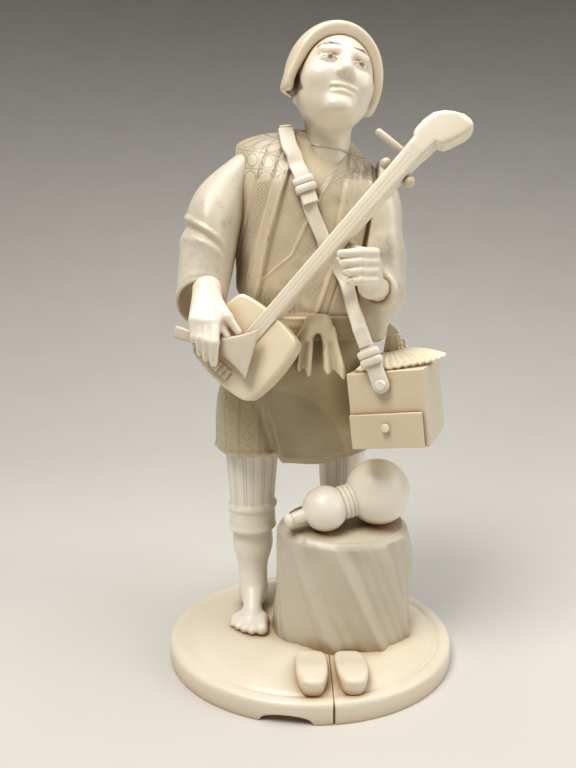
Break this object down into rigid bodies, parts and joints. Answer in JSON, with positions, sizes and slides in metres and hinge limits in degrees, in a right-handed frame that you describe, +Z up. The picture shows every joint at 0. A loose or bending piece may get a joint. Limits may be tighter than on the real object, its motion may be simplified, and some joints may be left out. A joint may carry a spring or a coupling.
{
  "type": "okimono carving",
  "caption": "Carved okimono of a strolling musician with a long-necked lute, shoulder strap, drawer box and fan, standing by a stump on an oval base.",
  "frame": {"origin": "centre of the oval base's underside", "axes": "+Z up; the figure faces -Y, and +X is on the viewer's right"},
  "size_m": [0.118, 0.103, 0.2538],
  "materials": {
    "carved_ivory": "carved and hand polished, warm tan in the cuts",
    "peg_wood": "plain turned peg"
  },
  "bodies": {
    "figure": {"base_left": "carved_ivory", "base_right": "carved_ivory", "base_dowels": "peg_wood", "stump": "carved_ivory", "stump_peg": "peg_wood", "gourd": "carved_ivory", "gourd_cord": "carved_ivory", "gourd_stopper": "carved_ivory", "sandal_left": "carved_ivory", "sandal_right": "carved_ivory", "leg_right": "carved_ivory", "leg_left": "carved_ivory", "foot_pegs": "peg_wood", "skirt": "carved_ivory", "waist_peg": "peg_wood", "lute_peg": "peg_wood", "torso": "carved_ivory", "shoulder_pegs": "peg_wood", "head": "carved_ivory", "hood": "carved_ivory", "lute_body": "carved_ivory", "lute_neck": "carved_ivory", "lute_tailpiece": "carved_ivory", "plectrum": "carved_ivory", "hand_right": "carved_ivory", "hand_left": "carved_ivory", "sleeve_right": "carved_ivory", "sleeve_left": "carved_ivory", "sash_knot": "carved_ivory", "strap_front_upper": "carved_ivory", "strap_front_lower": "carved_ivory", "strap_back": "carved_ivory", "strap_tab_front": "carved_ivory", "strap_tab_back": "carved_ivory", "strap_keeper_upper": "carved_ivory", "strap_keeper_lower": "carved_ivory", "strap_keeper_back": "carved_ivory"},
    "box": {"box_case": "carved_ivory", "strap_pins": "carved_ivory", "fan": "carved_ivory"},
    "drawer": {"drawer": "carved_ivory", "drawer_knob": "carved_ivory"},
    "peg_upper": {"tuning_peg_upper": "carved_ivory"},
    "peg_left": {"tuning_peg_left": "carved_ivory"},
    "peg_right": {"tuning_peg_right": "carved_ivory"}
  },
  "joints": [
    {"name": "box_swing", "type": "hinge", "parent": "figure", "child": "box", "pos_m": [0.0255, -0.02172, 0.11728], "axis": [0.3697, 0.9291, 0], "range_deg": [-4, 4]},
    {"name": "drawer_slide", "type": "slide", "parent": "box", "child": "drawer", "axis": [-0.3697, -0.9291, 0], "range_m": [0, 0.018]},
    {"name": "peg_upper_turn", "type": "hinge", "parent": "figure", "child": "peg_upper", "pos_m": [0.03433, -0.01614, 0.19915], "axis": [-0.7178, 0.309, 0.6239], "continuous": true},
    {"name": "peg_left_turn", "type": "hinge", "parent": "figure", "child": "peg_left", "pos_m": [0.02974, -0.01614, 0.19387], "axis": [-0.7178, 0.309, 0.6239], "continuous": true},
    {"name": "peg_right_turn", "type": "hinge", "parent": "figure", "child": "peg_right", "pos_m": [0.02974, -0.01614, 0.19387], "axis": [-0.7178, 0.309, 0.6239], "continuous": true}
  ]
}
